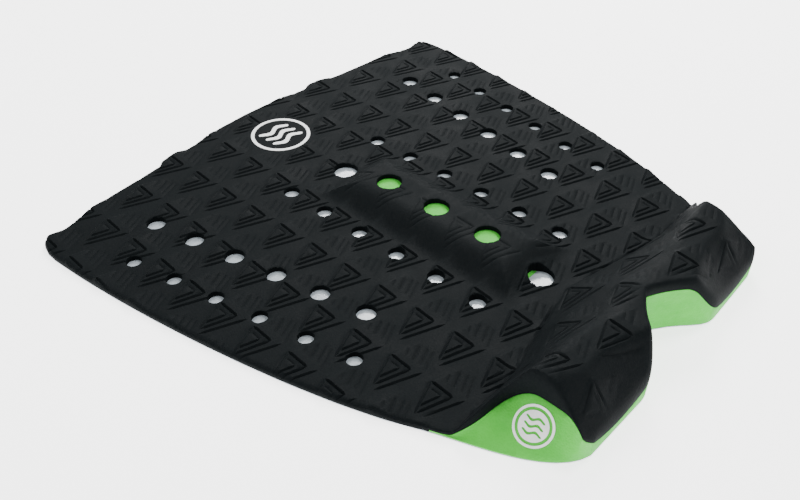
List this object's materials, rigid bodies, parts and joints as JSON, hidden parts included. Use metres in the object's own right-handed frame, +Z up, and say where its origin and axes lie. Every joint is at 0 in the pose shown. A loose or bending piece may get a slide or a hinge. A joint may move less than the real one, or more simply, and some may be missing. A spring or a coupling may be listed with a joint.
{
  "type": "surfboard traction pad",
  "caption": "One-piece moulded foam traction pad for a board's tail, with punched holes, an arch bar, a swallow-tailed kick and a peel-off liner.",
  "frame": {"origin": "on the underside of the release liner, on the pad's centreline, 154.9 mm behind the nose", "axes": "+X across the board to the rider's right, +Y along the board to the nose, +Z up out of the deck"},
  "size_m": [0.3092, 0.3047, 0.0314],
  "materials": {
    "deck_foam": "matt black closed-cell EVA foam, moulded with a low relief of nested triangles",
    "core_foam": "matt green closed-cell EVA foam, cut faces with a fine cell",
    "adhesive": "translucent pressure-sensitive adhesive film",
    "liner_paper": "smooth coated release paper, pale grey",
    "badge_film": "satin white transfer film"
  },
  "bodies": {
    "liner": {"release_liner": "liner_paper"},
    "pad": {"adhesive_film": "adhesive", "arch_core": "core_foam", "kick_core": "core_foam", "deck_sheet": "deck_foam", "front_badge_ring": "badge_film", "front_badge_wave_1": "badge_film", "front_badge_wave_2": "badge_film", "front_badge_wave_3": "badge_film", "kick_badge_ring_left": "badge_film", "kick_badge_disc_left": "badge_film", "kick_badge_ring_right": "badge_film", "kick_badge_disc_right": "badge_film"}
  },
  "joints": [
    {"name": "liner_peel", "type": "slide", "parent": "liner", "child": "pad", "axis": [0, 0, 1], "range_m": [0, 0.05]}
  ]
}
